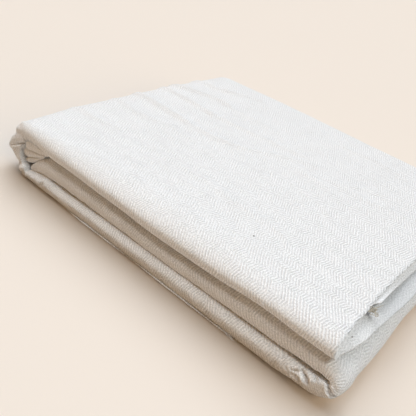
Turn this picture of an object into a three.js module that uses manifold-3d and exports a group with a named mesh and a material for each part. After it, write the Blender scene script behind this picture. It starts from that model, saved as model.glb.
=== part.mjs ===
// A folded ihram cloth: one rectangle of white cotton twill, folded into three stacks of eight layers.
// Millimetres, +Z up. The origin is the middle of the underside, and +X runs along the long side.
// Each stretch of the cloth that shows is a wall of its own, and the layers inside share one solid.
import * as THREE from "three";
import { mergeVertices } from "three/addons/utils/BufferGeometryUtils.js";
import Module from "manifold-3d";

const wasm = await Module();
wasm.setup();

// Driving dimensions.
const LENGTH = 371; // over both folded ends
const WIDTH = 309; // from the front folds to the back folds
const HEIGHT = 50;
const CLOTH = 2; // one layer of the twill
const GAP = 0.3; // between pieces of the cloth that touch

// Where each stack's folds come forward to, at the long side in front.
const LIP_FRONT = -151.2;
const MIDDLE_FRONT = -150.7;
const BOTTOM_FRONT = -WIDTH / 2;
const BACK = WIDTH / 2;

// The turns at both ends start here, and the stacks run between them.
const LEFT_TURN = -158;
const RIGHT_TURN = 165;
const BUTT_GAP = 0.8; // between two stretches of one layer, where the stacks end and a turn begins
const LEG = 9; // the cloth that runs back inside from a rounded fold
const BACK_RADIUS = 4.2; // the roll of four layers at the back edge
const BACK_LEG = 4;
const CORE_SETBACK = 25; // from a front fold to the solid inner layers behind its leg
const FINGER_START = -110; // where the inner layers fill the front folds too
const STACK_TURN_HEIGHT = 33.3; // of the lower two stacks, where they turn at the right end

// Along the long side: the underside of the top stack and of the middle one, at the front.
const STACK_ROWS = [
  { x: -158, topUnder: 37, midUnder: 5 },
  { x: -138, topUnder: 31, midUnder: 7.7 },
  { x: -125, topUnder: 28.8, midUnder: 9.5 },
  { x: -95, topUnder: 30.9, midUnder: 11.2 },
  { x: -55, topUnder: 29.5, midUnder: 12.7 },
  { x: 6, topUnder: 28.1, midUnder: 13.5 },
  { x: 67, topUnder: 29.5, midUnder: 14.6 },
  { x: 87, topUnder: 31.6, midUnder: 14.5 },
  { x: 107, topUnder: 33.7, midUnder: 14.4 },
  { x: 168, topUnder: 33.7, midUnder: 15 },
];

// The free right edge of the top panel, and the wavy edge of the layer that droops below it.
const FREE_EDGES = [
  { y: -151, top: 172, third: 172.6 },
  { y: -144, top: 171.3, third: 174.1 },
  { y: -136, top: 170.8, third: 176 },
  { y: -128, top: 170, third: 177.6 },
  { y: -118, top: 169.3, third: 179.3 },
  { y: -107, top: 169.4, third: 179.5 },
  { y: -95, top: 168.6, third: 180.2 },
  { y: -80, top: 168, third: 181 },
  { y: -50, top: 167.6, third: 182.6 },
  { y: 0, top: 168.4, third: 181.6 },
  { y: 60, top: 167.8, third: 182.8 },
  { y: 154.5, top: 168.6, third: 181.4 },
];

// Round the left end from the floor up: how far out the cloth bulges at the front rim and further back,
// and the thickness of the whole strip of layers there.
const LEFT_ROWS = [
  { z: 0, front: -158, back: -160, thick: 12 },
  { z: 3.5, front: -163.6, back: -172, thick: 13 },
  { z: 8, front: -167.2, back: -178.5, thick: 15 },
  { z: 13, front: -173, back: -182.3, thick: 17 },
  { z: 17, front: -180, back: -184.5, thick: 18 },
  { z: 21, front: -182.4, back: -185.5, thick: 18 },
  { z: 28, front: -180.4, back: -185.2, thick: 18 },
  { z: 34.5, front: -174.2, back: -184, thick: 18 },
  { z: 37.5, front: -175.2, back: -182.4, thick: 17 },
  { z: 42.5, front: -172.4, back: -178.8, thick: 16 },
  { z: 47.3, front: -167, back: -171.5, thick: 14 },
  { z: 50, front: -158, back: -160, thick: 13 },
];
const RIM_REACH = 75; // how far back from the front rim its bulges and creases run out
const LEVEL_SHARE = 0.12; // the share of the outline, at each end, that levels out into the stacks

// Round the right end from the top of the middle stack down to the floor, as angles of one half turn.
const RIGHT_ROWS = [
  { angle: 90, thick: 18.5, depth: 9.2, front: MIDDLE_FRONT },
  { angle: 60, thick: 18, depth: 12, front: MIDDLE_FRONT },
  { angle: 30, thick: 17.5, depth: 14, front: -151.5 },
  { angle: 0, thick: 17, depth: 15, front: -152.5 },
  { angle: -30, thick: 16, depth: 15, front: -153.5 },
  { angle: -60, thick: 15, depth: 12, front: -154 },
  { angle: -90, thick: 14.5, depth: 8, front: BOTTOM_FRONT },
];
const RIGHT_ANGLES = [90, 75, 60, 45, 30, 15, 0, -15, -30, -45, -60, -75, -90];

// The loose layers round the turns: how far in each lies from the roll, and how far it reaches back.
const LOOSE_STEPS = [
  { inward: 0, reach: 0 },
  { inward: 2, reach: 1.4 },
];

// The front edge of the lowest layer, a thin wavy lip on the floor.
const LIP_ROWS = [
  { x: -158, front: -151 },
  { x: -137, front: -151.4 },
  { x: -124, front: -152.8 },
  { x: -110, front: -151 },
  { x: -80, front: -153.4 },
  { x: -35, front: -154 },
  { x: 0, front: -152.8 },
  { x: 30, front: -153.8 },
  { x: 70, front: -153.6 },
  { x: 118, front: -151.8 },
  { x: 165, front: -150.8 },
];

// The inner layers that buckle inside the left end: each fans out from a thin line at its right.
const INNER_FOLDS = [
  {
    name: "inner_fold_upper",
    rows: [
      { x: -155.5, low: 25.2, high: 31.8, front: -147.5 },
      { x: -146, low: 27.3, high: 31.6, front: -147.5 },
      { x: -131, low: 27.8, high: 28.9, front: -146.5 },
    ],
  },
  {
    name: "inner_fold_middle",
    rows: [
      { x: -154, low: 15.2, high: 24.9, front: -147.5 },
      { x: -146, low: 20.6, high: 27, front: -147.5 },
      { x: -131, low: 26.2, high: 27.5, front: -146.5 },
    ],
  },
  {
    name: "inner_fold_lower",
    rows: [
      { x: -153, low: 9.5, high: 14.9, front: -146.5 },
      { x: -146, low: 17, high: 20.3, front: -147 },
      { x: -136, low: 22.8, high: 23.9, front: -146 },
    ],
  },
];

const FIBRE = { color: 0xf1f0ee, roughness: 0.92, metalness: 0 };

// The value of one column of a table, eased between its rows.
function tableValue(rows, input, output, at) {
  const rising = rows[0][input] < rows[rows.length - 1][input];
  const sorted = rising ? rows : [...rows].reverse();
  if (at <= sorted[0][input]) return sorted[0][output];
  const next = sorted.findIndex((row) => row[input] >= at);
  if (next < 0) return sorted[sorted.length - 1][output];
  const low = sorted[next - 1];
  const high = sorted[next];
  const part = THREE.MathUtils.smoothstep(at, low[input], high[input]);
  return THREE.MathUtils.lerp(low[output], high[output], part);
}

// Numbers from one value to another, both ends included.
function spread(from, to, steps) {
  return Array.from({ length: steps + 1 }, (_, k) => THREE.MathUtils.lerp(from, to, k / steps));
}

// A rounded fold seen from its end: how far back and how far in from the outer face each point lies.
// It starts at the end of the inner leg and finishes where the flat outer face begins.
function roundedFold(radius, depth, leg, steps) {
  const turn = spread(Math.PI, 0, steps).map((angle) => ({
    back: depth * (1 - Math.sin(angle)),
    inset: radius * (1 - Math.cos(angle)),
  }));
  return [{ back: depth + leg, inset: 2 * radius }, ...turn];
}

function meshGeometry(positions, index) {
  const geometry = new THREE.BufferGeometry();
  geometry.setAttribute("position", new THREE.Float32BufferAttribute(positions, 3));
  geometry.setIndex(index);
  geometry.computeVertexNormals();
  return geometry;
}

// A wall of cloth from a grid of points on its outer face: columns run along the fold, rows across it.
// The inner face lies one thickness in along the grid's own normals, and four rims close the wall.
function clothWall(columns, thicknessAt = () => CLOTH) {
  const across = columns[0].length;
  const outer = columns.flat();
  const inner = columns.flatMap((column, i) =>
    column.map((point, j) => {
      const before = columns[Math.max(i - 1, 0)][j];
      const after = columns[Math.min(i + 1, columns.length - 1)][j];
      const left = column[Math.max(j - 1, 0)];
      const right = column[Math.min(j + 1, across - 1)];
      const along = after.clone().sub(before);
      const over = right.clone().sub(left);
      const normal = along.cross(over).normalize();
      return point.clone().addScaledVector(normal, -thicknessAt(i, j));
    }),
  );
  const index = [];
  const quad = (a, b, c, d) => index.push(a, b, c, a, c, d);
  const out = (i, j) => i * across + j;
  const inn = (i, j) => outer.length + i * across + j;
  const lastColumn = columns.length - 1;
  const lastRow = across - 1;
  for (let i = 0; i < lastColumn; i += 1) {
    for (let j = 0; j < lastRow; j += 1) {
      quad(out(i, j), out(i + 1, j), out(i + 1, j + 1), out(i, j + 1));
      quad(inn(i, j), inn(i, j + 1), inn(i + 1, j + 1), inn(i + 1, j));
    }
    quad(out(i, 0), inn(i, 0), inn(i + 1, 0), out(i + 1, 0));
    quad(out(i, lastRow), out(i + 1, lastRow), inn(i + 1, lastRow), inn(i, lastRow));
  }
  for (let j = 0; j < lastRow; j += 1) {
    quad(out(0, j), out(0, j + 1), inn(0, j + 1), inn(0, j));
    quad(out(lastColumn, j), inn(lastColumn, j), inn(lastColumn, j + 1), out(lastColumn, j + 1));
  }
  const positions = [...outer, ...inner].flatMap((point) => point.toArray());
  return meshGeometry(positions, index);
}

// A solid through closed sections that all have the same number of points, with a flat cap at each end.
// flatOf lays a section out in two directions, and turnedBack says that the sections go against them.
function loft(sections, flatOf, turnedBack = false) {
  const count = sections[0].length;
  const clockwise = THREE.ShapeUtils.area(sections[0].map(flatOf)) < 0;
  const rings = sections.map((section) => (clockwise ? [...section].reverse() : section));
  const positions = rings.flat().flatMap((point) => point.toArray());
  const triangles = [];
  for (let s = 0; s + 1 < rings.length; s += 1) {
    for (let k = 0; k < count; k += 1) {
      const here = s * count + k;
      const next = s * count + ((k + 1) % count);
      triangles.push([here, next, next + count], [here, next + count, here + count]);
    }
  }
  const last = (rings.length - 1) * count;
  const capOf = (ring) => THREE.ShapeUtils.triangulateShape(ring.map(flatOf), []);
  capOf(rings[0]).forEach(([a, b, c]) => triangles.push([a, c, b]));
  capOf(rings[rings.length - 1]).forEach(([a, b, c]) => triangles.push([last + a, last + b, last + c]));
  return meshGeometry(
    positions,
    triangles.flatMap(([a, b, c]) => (turnedBack ? [a, c, b] : [a, b, c])),
  );
}

function toSolid(geometry) {
  const bare = geometry.clone().deleteAttribute("normal");
  const merged = mergeVertices(bare, 1e-4);
  const vertProperties = merged.getAttribute("position").array;
  const triVerts = new Uint32Array(merged.index.array);
  return new wasm.Manifold(new wasm.Mesh({ numProp: 3, vertProperties, triVerts }));
}

function joined(geometries) {
  const solid = geometries.map(toSolid).reduce((whole, piece) => whole.add(piece));
  const mesh = solid.getMesh();
  return meshGeometry(Array.from(mesh.vertProperties), Array.from(mesh.triVerts));
}

const topUnder = (x) => tableValue(STACK_ROWS, "x", "topUnder", x);
const midUnder = (x) => tableValue(STACK_ROWS, "x", "midUnder", x);

// The roll at the back edge, from the flat outer face round to the end of its inner leg.
function backRoll() {
  const fold = roundedFold(BACK_RADIUS, BACK_RADIUS, BACK_LEG, 4).reverse();
  return fold.map(({ back, inset }) => ({ y: BACK - back, inset }));
}

// The top face from its left end to its free right edge, with the thick lip in front and the back roll.
function topPanel() {
  const flatRows = [-120, -50, 50, 130].map((y) => ({ y, inset: 0 }));
  const columns = spread(0, 1, 20).map((part) => {
    const middle = THREE.MathUtils.lerp(LEFT_TURN, FREE_EDGES[0].top, part);
    const radius = (HEIGHT - topUnder(middle)) / 2;
    const lip = roundedFold(radius, radius, LEG, 8).map(({ back, inset }) => ({ y: LIP_FRONT + back, inset }));
    return [...lip, ...flatRows, ...backRoll()].map(({ y, inset }) => {
      const x = THREE.MathUtils.lerp(LEFT_TURN + BUTT_GAP, tableValue(FREE_EDGES, "y", "top", y), part);
      return new THREE.Vector3(x, y, HEIGHT - inset);
    });
  });
  return clothWall(columns);
}

// The thin second layer, whose edge passes the top panel's by a few millimetres.
function secondLayer() {
  const columns = spread(0, 1, 2).map((part) =>
    spread(-94, 146, 8).map((y) => {
      const edge = tableValue(FREE_EDGES, "y", "top", y) + 2.4;
      return new THREE.Vector3(THREE.MathUtils.lerp(158.5, edge, part), y, HEIGHT - CLOTH - GAP);
    }),
  );
  return clothWall(columns, () => 1.6);
}

// The third layer leaves from under the second and droops to its wavy free edge.
function thirdLayer() {
  const inner = 158.5;
  const columns = spread(0, 1, 5).map((part) =>
    [-146.5, -144, -138, -130, -122, -114, -104, -92, -78, -50, -20, 20, 70, 110, 146].map((y) => {
      const x = THREE.MathUtils.lerp(inner, tableValue(FREE_EDGES, "y", "third", y), part);
      const start = THREE.MathUtils.lerp(43.6, 45.4, THREE.MathUtils.smoothstep(y, -146, -128));
      const end = THREE.MathUtils.lerp(39.6, 37.4, THREE.MathUtils.smoothstep(y, -146, -128));
      return new THREE.Vector3(x, y, THREE.MathUtils.lerp(start, end, part ** 1.6));
    }),
  );
  return clothWall(columns, () => 1.6);
}

// A point of the left end: its outline at this depth, moved in square to itself by the inset.
function leftOutline(y) {
  const share = THREE.MathUtils.smoothstep(y, LIP_FRONT, LIP_FRONT + RIM_REACH);
  const knots = LEFT_ROWS.map(
    ({ z, front, back, thick }) => new THREE.Vector3(THREE.MathUtils.lerp(front, back, share), thick, z),
  );
  return new THREE.CatmullRomCurve3(knots, false, "centripetal");
}

// Where the outline meets the flat faces of the stack, its inset is square to the floor.
function leftPoint(outline, turn, y, inset) {
  const place = outline.getPoint(turn);
  const nearEnd = 1 - THREE.MathUtils.smoothstep(Math.min(turn, 1 - turn), LEVEL_SHARE / 6, LEVEL_SHARE);
  const level = new THREE.Vector3(turn < 0.5 ? -1 : 1, 0, 0);
  const tangent = outline.getTangent(turn).setY(0).normalize().lerp(level, nearEnd).normalize();
  return new THREE.Vector3(place.x + tangent.z * inset, y, place.z - tangent.x * inset);
}

// The spine: the cloth that comes up round the left end, with a thick rounded rim in front.
function leftWrap() {
  const flatDepths = [-136, -118, -90, -60, 20, 120];
  const rim = leftOutline(LIP_FRONT);
  const columns = spread(0.01, 0.984, 20).map((turn) => {
    const radius = rim.getPoint(turn).y / 2;
    const front = THREE.MathUtils.lerp(BOTTOM_FRONT + 1, LIP_FRONT, turn);
    const fold = roundedFold(radius, radius, 2, 6).map(({ back, inset }) => ({ y: front + back, inset }));
    const flat = flatDepths.map((y) => ({ y, inset: 0 }));
    return [...fold, ...flat, ...backRoll()].map(({ y, inset }) => leftPoint(leftOutline(y), turn, y, inset));
  });
  return clothWall(columns);
}

// The turn at the right end: one half turn of the strip, from the middle stack down to the floor.
function rightPoint(angle, y, inset) {
  const turn = THREE.MathUtils.degToRad(angle);
  const half = STACK_TURN_HEIGHT / 2;
  const reach = LENGTH / 2 - RIGHT_TURN;
  return new THREE.Vector3(
    RIGHT_TURN + (reach - inset) * Math.cos(turn),
    y,
    half + (half - inset) * Math.sin(turn),
  );
}

function rightWrap() {
  const columns = RIGHT_ANGLES.map((angle) => {
    const value = (name) => tableValue(RIGHT_ROWS, "angle", name, angle);
    const fold = roundedFold(value("thick") / 2 - 1, value("depth"), 1, 7).map(({ back, inset }) => ({
      y: value("front") + back,
      inset,
    }));
    const flat = [-125, -80, 0, 80, 130].map((y) => ({ y, inset: 0 }));
    return [...fold, ...flat, ...backRoll()].map(({ y, inset }) => rightPoint(angle, y, inset));
  });
  return clothWall(columns);
}

// A rounded fold of a whole stack, as a wall from its lower leg round the front to its upper leg.
// Rows give its lower and upper face and its front. A tip length rounds its left end off in plan.
function frontFold(rows, tip, leg) {
  const columns = rows.map(({ x, low, high, front }) => {
    const shrink = tip && x < rows[0].x + tip ? 1 - (1 - (x - rows[0].x) / tip) ** 2 : 1;
    const radius = (Math.sqrt(Math.max(shrink, 0.012)) * (high - low)) / 2;
    const middle = (low + high) / 2;
    const setback = (high - low) / 2 - radius;
    const round = spread(-Math.PI / 2, Math.PI / 2, 7).map(
      (angle) =>
        new THREE.Vector3(
          x,
          front + setback + radius * (1 - Math.cos(angle)),
          middle + radius * Math.sin(angle),
        ),
    );
    const legEnd = front + (high - low) / 2 + leg;
    return [
      new THREE.Vector3(x, legEnd, middle - radius),
      ...round,
      new THREE.Vector3(x, legEnd, middle + radius),
    ];
  });
  const thickness = columns.map((column) => {
    const radius = (column[column.length - 1].z - column[0].z) / 2;
    return Math.min(CLOTH, radius * 0.55);
  });
  return clothWall(columns, (i) => thickness[i]);
}

function middleFold() {
  const places = [-149, -148, -146, -142, -136, -128, -115, -95, -75, -55, -25, 6, 36, 67, 87, 107, 136];
  const rows = [...places, RIGHT_TURN - BUTT_GAP].map((x) => ({
    x,
    low: midUnder(x) + GAP,
    high: Math.min(topUnder(x) - 2 * GAP, middleTop(x)),
    front: MIDDLE_FRONT,
  }));
  return frontFold(rows, 14, LEG);
}

// The middle stack's left end slopes down to its tip, under the buckled inner layers.
function middleTop(x) {
  return x > -125 ? HEIGHT : THREE.MathUtils.mapLinear(x, -149, -125, 15.5, 28.2);
}

function bottomFold() {
  const places = [...spread(LEFT_TURN + BUTT_GAP, 107, 18), 125, 143, 154, RIGHT_TURN - BUTT_GAP];
  const rows = places.map((x) => ({
    x,
    low: CLOTH + GAP,
    high: midUnder(x) - GAP,
    front: BOTTOM_FRONT,
  }));
  return frontFold(rows, 0, LEG);
}

// The lowest layer, flat on the floor, from its thin wavy lip in front to its roll at the back.
function undersidePanel() {
  const places = spread(RIGHT_TURN - BUTT_GAP, LEFT_TURN + BUTT_GAP, 16);
  const columns = places.map((x) => {
    const lip = tableValue(LIP_ROWS, "x", "front", x);
    const flat = [lip, lip + 0.6, -100, 0, 100].map((y) => new THREE.Vector3(x, y, 0));
    const roll = backRoll().map(({ y, inset }) => new THREE.Vector3(x, y, inset));
    return [...flat, ...roll];
  });
  return clothWall(columns);
}

// The back edge of the layers that don't show, from the top down: a step for each layer, a roll for four.
function layeredEdge() {
  const layer = (HEIGHT / 3 - BACK_RADIUS * 2) / 4;
  const looseLayers = (top, count, reach) =>
    spread(0, count - 1, count - 1).flatMap((k) => {
      const y = reach + ((k * 7) % 3) * 0.9;
      const z = top - k * layer;
      return [
        [y, z - 0.2],
        [y, z - layer + 0.2],
        [reach - 4, z - layer],
      ];
    });
  const middleTopFace = (HEIGHT * 2) / 3;
  const roll = spread(90, -90, 6).map((angle) => {
    const turn = THREE.MathUtils.degToRad(angle);
    return [
      BACK - BACK_RADIUS * (1 - Math.cos(turn)),
      middleTopFace - BACK_RADIUS * (1 - Math.sin(turn)) - 0.3,
    ];
  });
  return [
    ...looseLayers(HEIGHT - 2 * BACK_RADIUS - GAP, 4, 149),
    ...roll,
    [146, middleTopFace - 2 * BACK_RADIUS - 0.6],
    ...looseLayers(middleTopFace - 2 * BACK_RADIUS - 0.6, 8, 149.5),
  ].filter(([, z]) => z > 2 * BACK_RADIUS + GAP);
}

// The outline of the inner layers, as depths and heights: a front of some shape, and the layered back edge.
function coreRing(x, frontOutline) {
  const backStep = BACK - 2 * BACK_RADIUS - BACK_LEG;
  const ring = [
    [backStep, CLOTH + GAP],
    ...frontOutline,
    [backStep, HEIGHT - CLOTH - GAP],
    [backStep, HEIGHT - 2 * BACK_RADIUS - GAP],
    ...layeredEdge(),
    [backStep, 2 * BACK_RADIUS + GAP],
  ];
  return ring.map(([y, z]) => new THREE.Vector3(x, y, z)).reverse();
}

// Between the turns, a rounded finger of inner layers lies inside each front fold.
function coreSection(x) {
  const inside = CLOTH + 2 * GAP;
  const fingers = [
    { low: CLOTH + GAP + inside, high: midUnder(x) - GAP - inside, front: BOTTOM_FRONT },
    { low: midUnder(x) + GAP + inside, high: topUnder(x) - 2 * GAP - inside, front: MIDDLE_FRONT },
    { low: topUnder(x) + inside, high: HEIGHT - inside, front: LIP_FRONT },
  ];
  const notch = LIP_FRONT + CORE_SETBACK;
  const noses = fingers.flatMap(({ low, high, front }) => {
    const radius = (high - low) / 2;
    const round = spread(-90, 90, 5).map((angle) => {
      const turn = THREE.MathUtils.degToRad(angle);
      return [front + inside + radius * (1 - Math.cos(turn)), (low + high) / 2 + radius * Math.sin(turn)];
    });
    return [[notch, low], ...round, [notch, high]];
  });
  return coreRing(x, [[notch, CLOTH + GAP], ...noses]);
}

// Near the left turn, the inner layers stop short of the front, where the buckled ones lie.
function coreBehindTip() {
  const front = LIP_FRONT + CORE_SETBACK + 1;
  const plain = [
    [front, CLOTH + GAP],
    [front, HEIGHT - CLOTH - GAP],
  ];
  return loft(
    [LEFT_TURN + 1, FINGER_START + 5].map((x) => coreRing(x, plain)),
    (point) => new THREE.Vector2(point.y, point.z),
  );
}

// The inner layers between the turns, and the part of them that fills each turn.
function coreBetweenTurns() {
  const places = [FINGER_START, -95, -75, -55, -25, 6, 36, 67, 87, 107, 156];
  return loft(places.map(coreSection), (point) => new THREE.Vector2(point.y, point.z));
}

// The other cut ends of the top stack lie on the turn, under the two layers that droop.
function coreUnderFlap() {
  const outline = [
    [150, STACK_TURN_HEIGHT + 2 * GAP],
    [172, STACK_TURN_HEIGHT + 2 * GAP],
    [172, 38.2],
    [166, 40.6],
    [150, 41.2],
  ];
  return loft(
    [-132, 145].map((y) => outline.map(([x, z]) => new THREE.Vector3(x, y, z))),
    (point) => new THREE.Vector2(point.x, point.z),
    true,
  );
}

function coreInLeftTurn(inset, depths) {
  const turns = spread(0.02, 0.98, 14);
  const sections = depths.map((y) => {
    const outline = leftOutline(y);
    const round = turns.map((turn) => leftPoint(outline, turn, y, inset));
    return [new THREE.Vector3(-150, y, inset + 0.2), ...round, new THREE.Vector3(-150, y, HEIGHT - inset - 0.2)];
  });
  return loft(sections, (point) => new THREE.Vector2(point.x, point.z), true);
}

function coreInRightTurn(inset, depths) {
  const sections = depths.map((y) => {
    const round = [...RIGHT_ANGLES].reverse().map((angle) => rightPoint(angle, y, inset));
    return [
      new THREE.Vector3(150, y, STACK_TURN_HEIGHT - inset - 0.2),
      new THREE.Vector3(150, y, inset + 0.2),
      ...round,
    ];
  });
  return loft(sections, (point) => new THREE.Vector2(point.x, point.z), true);
}

// The layers inside share one solid. Round each turn, the loose ones step out towards the back one by one.
function hiddenLayers() {
  const inset = CLOTH + 3 * GAP;
  const frontFace = LIP_FRONT + CORE_SETBACK + 2;
  const rollFace = BACK - 2 * BACK_RADIUS - BACK_LEG - 1;
  const looseEnds = LOOSE_STEPS.flatMap(({ inward, reach }) => {
    const looseInset = 2 * BACK_RADIUS + GAP + inward;
    const depths = [rollFace - 20, BACK - 6.5 + reach];
    return [coreInLeftTurn(looseInset, depths), coreInRightTurn(looseInset, depths)];
  });
  return joined([
    coreBetweenTurns(),
    coreBehindTip(),
    coreUnderFlap(),
    coreInLeftTurn(inset, [frontFace, frontFace + 12, frontFace + 28, frontFace + 50, rollFace]),
    coreInRightTurn(inset, [frontFace, rollFace]),
    ...looseEnds,
  ]);
}

const group = new THREE.Group();

function addPiece(name, geometry) {
  const mesh = new THREE.Mesh(geometry, new THREE.MeshStandardMaterial(FIBRE));
  mesh.name = name;
  group.add(mesh);
}

addPiece("top_panel", topPanel());
addPiece("second_layer", secondLayer());
addPiece("third_layer", thirdLayer());
addPiece("left_wrap", leftWrap());
INNER_FOLDS.forEach(({ name, rows }) => addPiece(name, frontFold(rows, 0, 4)));
addPiece("middle_fold", middleFold());
addPiece("right_wrap", rightWrap());
addPiece("bottom_fold", bottomFold());
addPiece("underside_panel", undersidePanel());
addPiece("hidden_layers", hiddenLayers());

export default group;
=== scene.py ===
# %% [markdown]
# # A folded ihram cloth
# The object is one rectangle of white cotton twill, folded into a neat bundle that lies on a table. The
# lesson builds the bundle as thin, curved sheets of cloth, gives them a herringbone weave, and lights
# them softly. The first cell loads the packed model, which fixes the sizes: each new sheet lies on the
# form of the solid that it stands for.

# %% Load the frame
import math

import bpy
import numpy as np
from mathutils import Matrix, Vector


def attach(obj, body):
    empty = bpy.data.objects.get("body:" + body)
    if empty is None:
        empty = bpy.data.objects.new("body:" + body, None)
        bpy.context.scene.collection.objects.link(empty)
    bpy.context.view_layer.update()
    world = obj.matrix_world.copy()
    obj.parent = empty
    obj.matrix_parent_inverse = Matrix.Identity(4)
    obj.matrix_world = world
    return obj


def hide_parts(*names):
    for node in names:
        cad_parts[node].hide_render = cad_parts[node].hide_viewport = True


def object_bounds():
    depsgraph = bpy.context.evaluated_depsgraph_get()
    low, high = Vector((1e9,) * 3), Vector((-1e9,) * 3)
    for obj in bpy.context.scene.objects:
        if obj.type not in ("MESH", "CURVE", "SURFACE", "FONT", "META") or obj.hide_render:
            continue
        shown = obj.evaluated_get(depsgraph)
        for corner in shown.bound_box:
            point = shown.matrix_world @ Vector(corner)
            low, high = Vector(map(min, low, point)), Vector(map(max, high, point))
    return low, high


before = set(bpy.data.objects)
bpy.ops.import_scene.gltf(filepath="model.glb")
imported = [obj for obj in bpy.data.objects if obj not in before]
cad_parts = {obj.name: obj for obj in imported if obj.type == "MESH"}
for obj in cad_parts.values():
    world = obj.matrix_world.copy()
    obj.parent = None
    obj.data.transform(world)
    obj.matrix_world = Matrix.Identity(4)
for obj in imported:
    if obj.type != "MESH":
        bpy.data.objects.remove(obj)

cad_low, cad_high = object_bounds()
MM = 0.001
print("the packed model's box in mm:", [round(c / MM, 1) for c in (*cad_low, *cad_high)])

# %% [markdown]
# ## The camera
# The camera looks down at the near right corner from about half a metre away. It is rolled a little, so
# its axes are worked out from three angles: round the object, above the floor, and the roll.

# %% Camera
LENS = 47.573
SENSOR = 36
AZIMUTH = math.radians(33.283)
ELEVATION = math.radians(32.420)
ROLL = math.radians(13.594)
EYE = Vector((0.2273, -0.4143, 0.2839))


def placed(name, data):
    """A new object for the data, linked to the scene at the origin."""
    thing = bpy.data.objects.new(name, data)
    bpy.context.scene.collection.objects.link(thing)
    return thing


def camera_axes(azimuth, elevation, roll):
    """Right, up and back: back is a unit sphere's point at both angles, and roll turns the other two."""
    back = Vector((
        math.sin(azimuth) * math.cos(elevation),
        -math.cos(azimuth) * math.cos(elevation),
        math.sin(elevation),
    ))
    level = back.cross(Vector((0, 0, -1))).normalized()
    upright = back.cross(level)
    right = level * math.cos(roll) + upright * math.sin(roll)
    return right, back.cross(right), back


camera_data = bpy.data.cameras.new("camera")
camera_data.lens = LENS
camera_data.sensor_width = SENSOR
camera_data.clip_start = 0.01
camera = placed("camera", camera_data)
right, up, back = camera_axes(AZIMUTH, ELEVATION, ROLL)
camera.matrix_world = Matrix((
    (right.x, up.x, back.x, EYE.x),
    (right.y, up.y, back.y, EYE.y),
    (right.z, up.z, back.z, EYE.z),
    (0, 0, 0, 1),
))
bpy.context.scene.camera = camera
print("camera at", [round(c, 4) for c in EYE], "looking along", [round(-c, 3) for c in back])

# %% [markdown]
# ## The bundle's sizes
# The strip of folded layers winds like a flat spiral: along the top to the left, round the left end,
# along the floor to the right, round the right end, and back inside as the middle stack. These tables,
# in millimetres, say how thick each stack is along the long side and where the free edges lie.

# %% Sizes
RIGHT_TURN = 165
TOP_RIGHT = 172
HEIGHT = round(cad_high[2] / MM)
BACK = round(cad_high[1] / MM, 1)
LIP_FRONT = -151.2
STACK_TURN_HEIGHT = 33.3
RIGHT_REACH = 20.5
ROLL_RADIUS = 4.2
SAG = 2.6

# Along the long side: x, underside of the top stack, underside of the middle stack.
STACKS = np.array([
    (-165, 38.0, 5.0), (-158, 37.0, 5.0), (-148, 35.4, 7.2), (-140, 34.3, 9.0), (-134, 32.9, 9.8),
    (-127, 31.4, 10.8), (-118, 30.6, 11.3), (-95, 31.2, 11.9), (-55, 29.7, 12.9), (6, 28.1, 13.7),
    (67, 29.5, 14.8), (107, 33.7, 14.9), (140, 33.7, 15.3), (170, 33.7, 15.9),
])
# How far back the rounded shoulder of the top reaches: x, depth.
SHOULDER = np.array([
    (-150, 8.3), (-138, 9.5), (-120, 12), (-95, 18), (-60, 25), (10, 28), (60, 26), (100, 20), (172, 16),
])
# The upper face of the middle stack, where it slopes down to its tip at the left: x, z.
MIDDLE_SLOPE = np.array([
    (-149, 11.5), (-147, 13.5), (-144.5, 15.8), (-138.7, 22.0), (-127.8, 28.6), (-118, 32), (-100, 40),
])
# The top layer's free right edge, and the wavy edge of the layer that droops below it: y, x, x.
FREE_EDGES = np.array([
    (-152, 172.2, 172.4), (-151, 172.0, 172.8), (-144, 171.3, 174.1), (-136, 170.8, 176.0),
    (-128, 170.0, 177.6), (-118, 169.3, 179.3), (-107, 169.4, 179.5), (-95, 168.6, 180.2),
    (-80, 168.0, 181.0), (-50, 167.6, 182.6), (0, 168.4, 181.6), (60, 167.8, 182.8), (154.5, 168.6, 181.4),
])
print("stacks given at", len(STACKS), "places, and free edges at", len(FREE_EDGES))

# %% [markdown]
# ## Smooth lines through the tables
# A fold's edge is a smooth line, so each table is read through one curve. The functions after it give
# the heights and edges that several pieces share, so that they meet as the real layers do.

# %% Shared lines
def smooth_line(at, knots, values):
    """A smooth line through pairs of knot and value: cubics whose slope at a knot is its neighbours'."""
    slopes = np.gradient(values, knots)
    at = np.clip(at, knots[0], knots[-1])
    k = np.clip(np.searchsorted(knots, at) - 1, 0, len(knots) - 2)
    step = knots[k + 1] - knots[k]
    t = (at - knots[k]) / step
    start = (1 + 2 * t) * (1 - t) ** 2 * values[k] + t * (1 - t) ** 2 * step * slopes[k]
    end = t**2 * (3 - 2 * t) * values[k + 1] + t**2 * (t - 1) * step * slopes[k + 1]
    return start + end


def smooth_step(at, low, high):
    """0 below low, 1 above high, and an S-shaped rise between them."""
    t = np.clip((at - low) / (high - low), 0, 1)
    return t * t * (3 - 2 * t)


def table_lines(table, at):
    """A table's columns, after its first, as smooth lines over the first."""
    return [smooth_line(at, table[:, 0], table[:, k]) for k in range(1, table.shape[1])]


def top_under(x):
    """The underside of the top stack."""
    return table_lines(STACKS, x)[0]


def mid_under(x):
    """The underside of the middle stack."""
    return table_lines(STACKS, x)[1]


def middle_top(x):
    """The middle stack's upper face: just under the top stack, then sloping down to its left tip."""
    return np.minimum(top_under(x) - 0.5, table_lines(MIDDLE_SLOPE, x)[0])


def shoulder_depth(x):
    """How far back the top's rounded shoulder reaches."""
    return table_lines(SHOULDER, x)[0]


def shoulder_height(x, y):
    """The top's height over its rounded shoulder: a quarter of an ellipse, as deep as the table says."""
    half = (HEIGHT - top_under(x)) / 2
    short = np.clip(1 - (y - LIP_FRONT) / shoulder_depth(x), 0, 1)
    return HEIGHT - half + half * np.sqrt(1 - short**2)


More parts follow.
